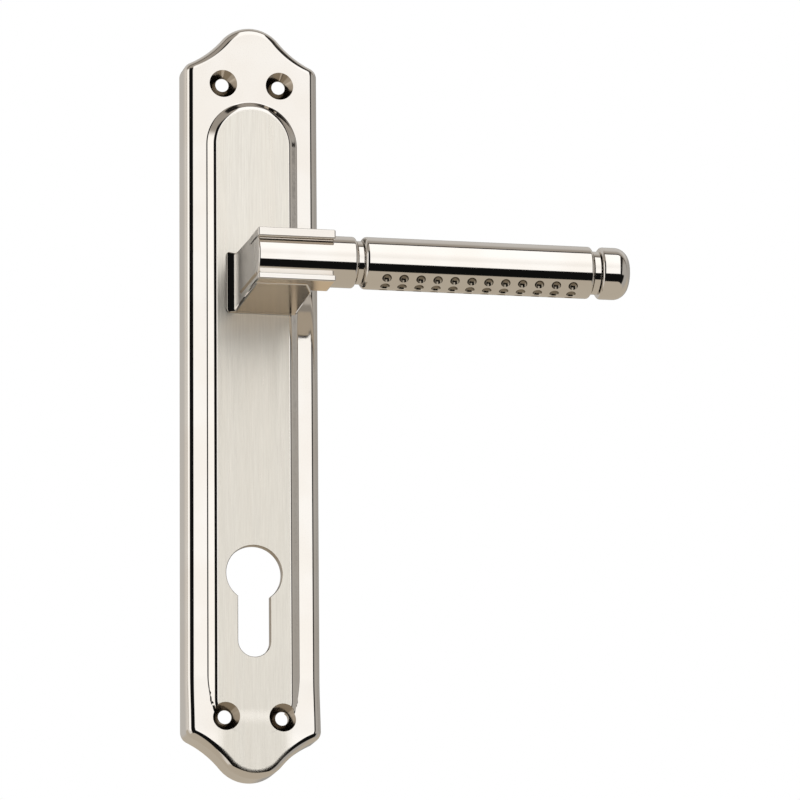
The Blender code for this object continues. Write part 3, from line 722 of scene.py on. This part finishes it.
joined(
    neck,
    [
        ("UNION", bar("head_barrel", barrel_profile, 144)),
        ("UNION", block("upper_fin", (HEAD_LEFT - PROUD, -FRONT, FIN_LOW), (FIN_RIGHT, -FIN_BACK, FIN_HIGH), 0.5, 6)),
        ("UNION", block("lower_fin", (HEAD_LEFT - PROUD, -FRONT, -FIN_HIGH), (FIN_RIGHT, -FIN_BACK, -LOW_FIN), 0.5, 6)),
        ("UNION", groove_fill),
        (
            "UNION",
            turned(
                "shank",
                [
                    (0, -PANEL - 0.9),
                    (SHANK_R, -PANEL - 0.9),
                    (SHANK_R, CLIP_Y[0] - 0.1),
                    (SHANK_R - 0.9, CLIP_Y[0] - 0.1),
                    (SHANK_R - 0.9, CLIP_Y[1] + 0.1),
                    (SHANK_R, CLIP_Y[1] + 0.1),
                    (SHANK_R, -2.2),
                    (SHANK_R - 0.2, -2.0),
                    (0, -2.0),
                ],
                "+Y",
                (0, 0, 0),
                96,
            ),
        ),
        ("DIFFERENCE", block("spindle_socket", (-half, -24.0, -half), (half, 1.0, half))),
        ("DIFFERENCE", turned("pin_hole", [(0, -20), (1.1, -20), (1.1, 20), (0, 20)], "+Z", (0, -5.6, 0), 32)),
        ("DIFFERENCE", bar("stud_hole", [(0, 12.0), (3.1, 12.0), (3.1, 40.0), (0, 40.0)], 48)),
        ("DIFFERENCE", end_groove),
        ("DIFFERENCE", block("flat_a", (-9, -5.0, 6.0), (9, -2.98, 9))),
        ("DIFFERENCE", block("flat_b", (-9, -5.0, -9), (9, -2.98, -6.0))),
    ],
)


def neck_normal(centre, facing, point):
    """True normals on the head's barrel."""
    r = sqrt((point.y + AXIS) ** 2 + point.z**2)
    radial = Vector((0, point.y + AXIS, point.z)) / max(r, 1e-9)
    if abs(r - HEAD_R) < 0.01 and facing.dot(radial) > 0.999 and HEAD_LEFT + 0.55 < centre.x < COLLAR_END - 0.95:
        return radial
    if abs(facing.x) > 0.9995 or (facing.z < -0.97 and -48.0 < centre.y < -PANEL):
        return facing.copy()
    return None


finish_shading(neck, 28.0, neck_normal)
dress(neck, "lever", "polished_nickel", MIRROR, END_FACE, UNDERSIDE_PAINTED_REFLECTION, GROOVE_PAINTED_SHADE)
for face in neck.data.polygons:
    c = face.center / MM
    # the end face takes the lighter satin nickel, partly painted light
    if face.normal.x < -0.995 and abs(c.x - HEAD_LEFT) < PROUD + 0.02:
        face.material_index = 1
    # the flat underside takes the warm nickel, which is a painted reflection
    elif face.normal.z < -0.97 and -48.0 < c.y < -PANEL and c.x < 13.7 and c.z > -10.0:
        face.material_index = 2
    # the groove takes the darker nickel, which is painted shade
    elif HEAD_LEFT - PROUD < c.x < HEAD_LEFT + 0.65 and abs(c.z + 5.7) < 0.65 and -49.0 < c.y < -20.0:
        face.material_index = 3
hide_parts("lever_neck")

# ================================================================ rings, grip and cap
ring_bevel = 0.15


def ring_piece(name, x0, x1, inner, node):
    profile = (
        round_corner((RING_R - ring_bevel, x0 + ring_bevel), ring_bevel, -90, 0, 4)
        + round_corner((RING_R - ring_bevel, x1 - ring_bevel), ring_bevel, 0, 90, 4)
        + [(inner, x1), (inner, x0)]
    )
    made = bar(name, profile, 96)
    finish_shading(made, 40.0)
    dress(made, "lever", "polished_nickel", MIRROR)
    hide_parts(node)
    return made


ring_piece("groove_ring_front", COLLAR_END + 0.3, GRIP[0] - 0.3, 5.2, "front_ring")
ring_piece("groove_ring_rear", REAR_RING[0], REAR_RING[1], 3.3, "rear_ring")

grip_profile = (
    [(RING_R + 0.1, GRIP[0])]
    + [
        (RING_R + 0.1 + (LEVER_R - RING_R - 0.1) * sin(radians(t)), GRIP[0] + 1.4 * (1 - cos(radians(t))))
        for t in range(9, 91, 9)
    ]
    + [
        (RING_R + 0.1 + (LEVER_R - RING_R - 0.1) * cos(radians(t)), GRIP[1] - 1.1 * (1 - sin(radians(t))))
        for t in range(0, 91, 9)
    ]
    + [(5.25, GRIP[1]), (5.25, GRIP[0])]
)
grip = bar("grip_tube", grip_profile, 144)
ball = (DIMPLE_R**2 + DIMPLE_DEEP**2) / (2 * DIMPLE_DEEP)
centres = []
bm = bmesh.new()
for row in DIMPLE_ROWS:
    out = Vector((0, -cos(radians(row)), -sin(radians(row))))
    for k in range(DIMPLES):
        middle = Vector((DIMPLE_START + DIMPLE_PITCH * k, -AXIS, 0)) + out * (LEVER_R - DIMPLE_DEEP + ball)
        centres.append(middle)
        bmesh.ops.create_uvsphere(
            bm,
            u_segments=40,
            v_segments=24,
            radius=ball * MM,
            matrix=Matrix.Translation(middle * MM) @ out.to_track_quat("Z", "Y").to_matrix().to_4x4(),
        )
joined(grip, [("DIFFERENCE", to_object("dimple_balls", bm))])


def grip_normal(centre, facing, point):
    """True normals on the tube and in the dimples."""
    r = sqrt((point.y + AXIS) ** 2 + point.z**2)
    radial = Vector((0, point.y + AXIS, point.z)) / max(r, 1e-9)
    if abs(r - LEVER_R) < 0.01 and facing.dot(radial) > 0.999 and GRIP[0] + 1.3 < centre.x < GRIP[1] - 1.0:
        return radial
    if GRIP[0] + 1.4 < centre.x < GRIP[1] - 1.2 and sqrt((centre.y + AXIS) ** 2 + centre.z**2) > 6.5:
        k = min(DIMPLES - 1, max(0, round((centre.x - DIMPLE_START) / DIMPLE_PITCH)))
        for row in range(len(DIMPLE_ROWS)):
            middle = centres[row * DIMPLES + k]
            if (centre - middle).length < ball + 0.02:
                return (middle - point).normalized()
    return None


finish_shading(grip, 28.0, grip_normal)
dress(grip, "lever", "polished_nickel", MIRROR, DIMPLE)
# faces inside the dimples take the dark nickel, which is painted shade
for face in grip.data.polygons:
    c = face.center / MM
    near = min((c - middle).length for middle in centres)
    face.material_index = 1 if near < ball + 0.03 and sqrt((c.y + AXIS) ** 2 + c.z**2) < LEVER_R - 0.05 else 0
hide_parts("grip_sleeve")

dome = [
    (LEVER_R - 4.6 * (1 - cos(radians(a))), CAP[1] - 4.6 + 4.6 * sin(radians(a))) for a in [i * 3.75 for i in range(25)]
]
cap_profile = (
    [(3.1, CAP[0])]
    + [(LEVER_R - 0.9, CAP[0])]
    + [(LEVER_R - 0.9 + 0.9 * sin(radians(t)), CAP[0] + 1.0 * (1 - cos(radians(t)))) for t in range(10, 91, 10)]
    + dome
    + [(0, CAP[1]), (0, 108.0), (3.1, 108.0)]
)
bm_profile = [p for i, p in enumerate(cap_profile) if i == 0 or p != cap_profile[i - 1]]
outer = [(0, CAP[0])] + bm_profile[1:-3] + [(0, CAP[1])]
cap = bar("cap_domed", outer, 128)
joined(cap, [("DIFFERENCE", bar("cap_hole", [(0, CAP[0] - 2), (3.1, CAP[0] - 2), (3.1, 108.0), (0, 108.0)], 48))])
finish_shading(cap, 35.0)
dress(cap, "lever", "polished_nickel", MIRROR)
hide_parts("end_cap")

# ================================================================ what shows from behind
cover = loft(
    "cover_plate_steel",
    [
        [(x, COVER_Y[0], z) for x, z in [(p[0], p[2]) for p in rounded_box(-17.2, 17.2, -21.0, 21.0, 2.2, 0, 10)]],
        [(x, COVER_Y[1] - 0.12, z) for x, z in [(p[0], p[2]) for p in rounded_box(-17.2, 17.2, -21.0, 21.0, 2.2, 0, 10)]],
        [(x, COVER_Y[1] - 0.035, z) for x, z in [(p[0], p[2]) for p in rounded_box(-17.165, 17.165, -20.965, 20.965, 2.165, 0, 10)]],
        [(x, COVER_Y[1], z) for x, z in [(p[0], p[2]) for p in rounded_box(-17.08, 17.08, -20.88, 20.88, 2.08, 0, 10)]],
    ],
)
joined(
    cover,
    [("DIFFERENCE", turned("cover_bore", [(0, 2), (6.4, 2), (6.4, -4), (0, -4)], "+Y", (0, 0, 0), 72))]
    + [
        ("DIFFERENCE", turned(f"cover_hole_{n}", [(0, 2), (1.3, 2), (1.3, -4), (0, -4)], "+Y", (x, 0, z), 32))
        for n, (x, z) in enumerate(BOSSES)
    ],
)
finish_shading(cover, 30.0)
dress(cover, "plate", "zinc_steel", STEEL)
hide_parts("spring_cover")

for n, (x, z) in enumerate(BOSSES):
    y = COVER_Y[1] + 1.0
    head = [(2.1 - 0.9 * (1 - cos(radians(a))), y - 0.62 + 0.62 * sin(radians(a))) for a in range(0, 91, 10)]
    screw = turned(
        f"cover_screw_pan_{n + 1}",
        [(0, y)] + [p for p in reversed(head)] + [(2.1, COVER_Y[1] + 0.1), (0.8, COVER_Y[1] + 0.1), (0.8, -5.6), (0, -5.9)],
        "+Y",
        (x, 0, z),
        48,
    )
    turn = Matrix.Translation(Vector((x, 0, z)) * MM) @ Matrix.Rotation(radians(17 + 31 * n), 4, "Y") @ Matrix.Translation(Vector((-x, 0, -z)) * MM)
    slots = []
    for tag, wide, tall in (("a", 1.25, 0.22), ("b", 0.22, 1.25)):
        slot = block(f"slot_{tag}_{n}", (x - wide, y - 0.5, z - tall), (x + wide, y + 1, z + tall))
        slot.data.transform(turn)
        slots.append(("DIFFERENCE", slot))
    joined(screw, slots)
    finish_shading(screw, 30.0)
    dress(screw, "plate", "zinc_steel", STEEL)
    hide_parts(f"cover_screw_{n + 1}")

spindle = block("spindle_bar", (-SPINDLE / 2, -23.5, -SPINDLE / 2), (SPINDLE / 2, SPINDLE_END, SPINDLE / 2), 0.5, 4)
joined(spindle, [("DIFFERENCE", turned("spindle_hole", [(0, -9), (1.1, -9), (1.1, 9), (0, 9)], "+Z", (0, -5.6, 0), 32))])
finish_shading(spindle, 35.0)
dress(spindle, "lever", "zinc_steel", STEEL_BAR)
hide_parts("spindle")

for name, made in (
    ("bearing_bush", NYLON),
    ("return_spring", SPRING),
    ("retaining_clip", SPRING),
    ("rest_stop_pin", STEEL),
    ("travel_stop_pin", STEEL),
    ("tie_rod", STEEL),
    ("cam_plate", STEEL),
    ("spindle_pin", STEEL),
):
    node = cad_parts[name]
    node.data.materials.clear()
    node.data.materials.append(made)

# ================================================================ floor
bm = bmesh.new()
bmesh.ops.create_grid(bm, x_segments=2, y_segments=2, size=30.0)
floor = to_object("studio_floor", bm)
floor.location = (0.0, 0.0, -2.6)
made, g, shader, place = new_material("floor_pale", (0.9, 0.9, 0.89))
shader.inputs["Emission Color"].default_value = (1.0, 1.0, 1.0, 1.0)
shader.inputs["Emission Strength"].default_value = 0.35
speck = g.noise(place, 3.0, 2.0)
g.feed(shader.inputs["Base Color"], g.mix(speck, (0.90, 0.90, 0.895), (0.93, 0.93, 0.925)))
shader.inputs["Roughness"].default_value = 0.8
floor.data.materials.append(made)
floor.visible_glossy = False

# ================================================================ studio surroundings
world = bpy.data.worlds.new("studio")
bpy.context.scene.world = world
world.use_nodes = True
world.node_tree.nodes.clear()
g = Graph(world.node_tree)
toward = g.node("ShaderNodeTexCoord").outputs["Generated"]
x, y, z = g.parts(toward)
front = g.math("MULTIPLY", y, -1.0)
azimuth = g.math("MULTIPLY", g.math("ARCTAN2", x, front), 180 / pi)      # 0 in front, + to the right
height = g.math("MULTIPLY", g.math("ARCSINE", z), 180 / pi)              # above the horizon
overhead = g.math("MULTIPLY", g.math("ARCTAN2", z, front), 180 / pi)     # 0 in front, 90 above, 180 behind

depth = g.math("SQRT", g.math("ADD", g.math("MULTIPLY", y, y), g.math("MULTIPLY", z, z)))
sideways = g.math("MULTIPLY", g.math("ARCTAN2", x, depth), 180 / pi)      # off the upright middle plane

# grey room behind and beside
left_grey = g.smooth(azimuth, -180.0, -70.0, 0.50, 0.77)
right_grey = g.smooth(azimuth, 60.0, 175.0, 0.42, 0.33)
grey = g.mix(g.smooth(x, -0.05, 0.05), left_grey, right_grey)
warm = g.node("ShaderNodeVectorMath", operation="MULTIPLY")
g.feed(warm.inputs[0], grey)
warm.inputs[1].default_value = (1.03, 0.98, 0.91)
colour = warm.outputs[0]
# ceiling behind the softbox
ceiling = g.mix(g.smooth(overhead, 92.0, 115.0), (0.36, 0.325, 0.285), (0.60, 0.58, 0.55))
colour = g.mix(g.smooth(height, 22.0, 40.0), colour, ceiling)
# table below
low = g.math("MAXIMUM", g.smooth(height, -40.0, -47.0), g.math("MULTIPLY", g.smooth(y, 0.0, 0.25), g.smooth(height, 0.0, -9.0)))
colour = g.mix(low, colour, (0.50, 0.445, 0.365))
# dark opening in front, below the softbox and to its left and right
ahead = g.math("MULTIPLY", g.smooth(azimuth, -53.0, -50.0), g.smooth(azimuth, 66.0, 58.0))
dark_low = g.math("MULTIPLY", ahead, g.math("MULTIPLY", g.smooth(height, -47.0, -44.5), g.smooth(height, -8.0, -12.0)))
beside = g.math("MULTIPLY", g.smooth(azimuth, -53.0, -50.0), g.smooth(azimuth, 44.0, 40.0))
dark_side = g.math("MULTIPLY", beside, g.math("MULTIPLY", g.smooth(height, -47.0, -44.5), g.smooth(height, 46.0, 38.0)))
dark = g.math("MAXIMUM", dark_low, dark_side)
colour = g.mix(dark, colour, (0.006, 0.006, 0.006))
# dark strip beside the softbox's right edge, up to the ceiling
strip = g.math("MULTIPLY", g.smooth(sideways, 26.0, 28.0), g.smooth(sideways, 46.0, 40.0))
strip = g.math("MULTIPLY", strip, g.math("MULTIPLY", g.smooth(overhead, 0.0, 6.0), g.smooth(overhead, 84.0, 78.0)))
colour = g.mix(strip, colour, (0.03, 0.027, 0.024))
# thin dark gap between the softbox and the ceiling
gap = g.math("MULTIPLY", g.smooth(overhead, 80.5, 82.0), g.smooth(overhead, 88.0, 86.5))
colour = g.mix(gap, colour, (0.012, 0.011, 0.01))
# bright panel to the left
panel_left = g.math("MULTIPLY", g.smooth(azimuth, -77.0, -73.0), g.smooth(azimuth, -52.0, -55.0))
panel_left = g.math("MULTIPLY", panel_left, g.math("MULTIPLY", g.smooth(height, -22.0, -15.0), g.smooth(height, 36.0, 24.0)))
colour = g.mix(panel_left, colour, (1.20, 1.185, 1.15))
# softbox in front and overhead
box = g.math("MULTIPLY", g.smooth(sideways, -7.5, -3.5), g.smooth(sideways, 28.5, 26.5))
box = g.math("MULTIPLY", box, g.math("MULTIPLY", g.smooth(height, -12.5, -10.0), g.smooth(overhead, 82.0, 80.5)))
box = g.math("MULTIPLY", box, g.smooth(overhead, -60.0, -50.0))
glow = g.mix(g.smooth(overhead, 6.0, 18.0), (1.20, 1.19, 1.17), (1.12, 1.105, 1.08))
glow = g.mix(g.smooth(overhead, 18.0, 45.0), glow, (1.26, 1.25, 1.235))
colour = g.mix(box, colour, glow)

lit = g.node("ShaderNodeBackground")
g.feed(lit.inputs["Color"], colour)
seen = g.node("ShaderNodeBackground")
seen.inputs["Color"].default_value = (1.0, 1.0, 1.0, 1.0)
path = g.node("ShaderNodeLightPath")
choose = g.node("ShaderNodeMixShader")
g.feed(choose.inputs[0], path.outputs["Is Camera Ray"])
world.node_tree.links.new(lit.outputs[0], choose.inputs[1])
world.node_tree.links.new(seen.outputs[0], choose.inputs[2])
out = g.node("ShaderNodeOutputWorld")
world.node_tree.links.new(choose.outputs[0], out.inputs[0])


def softlight(name, at, aim, size, power):
    data = bpy.data.lights.new(name, "AREA")
    data.shape, data.size, data.energy = "SQUARE", size, power
    lamp = bpy.data.objects.new(name, data)
    lamp.location = at
    lamp.rotation_euler = (Vector(aim) - Vector(at)).to_track_quat("-Z", "Y").to_euler()
    lamp.visible_camera = False
    lamp.visible_glossy = False
    bpy.context.scene.collection.objects.link(lamp)


softlight("softbox_key", (0.8, -1.6, 1.8), (0, 0, 0), 1.6, 30.0)
softlight("softbox_fill", (-1.8, -0.8, 0.6), (0, 0, 0), 1.4, 10.0)

# ================================================================ camera
AZ, EL, TILT, FAR = radians(-12.4), radians(-12.6), radians(-0.5), 2.0
back = Vector((sin(AZ) * cos(EL), -cos(AZ) * cos(EL), sin(EL)))
right = Vector((cos(AZ), sin(AZ), 0.0))
up = back.cross(right)
right, up = cos(TILT) * right + sin(TILT) * up, -sin(TILT) * right + cos(TILT) * up
camera_data = bpy.data.cameras.new("camera")
camera_data.sensor_width = 36.0
camera_data.lens = 289.8
camera_data.clip_start, camera_data.clip_end = 0.1, 100.0
camera = bpy.data.objects.new("camera", camera_data)
spot = Vector((0.045, -0.026, -0.036)) + back * FAR + right * -0.0015 + up * -0.00246
camera.matrix_world = Matrix(
    (
        (right.x, up.x, back.x, spot.x),
        (right.y, up.y, back.y, spot.y),
        (right.z, up.z, back.z, spot.z),
        (0, 0, 0, 1),
    )
)
bpy.context.scene.collection.objects.link(camera)
bpy.context.scene.camera = camera
bpy.context.scene.view_settings.view_transform = "Standard"

bpy.context.view_layer.update()
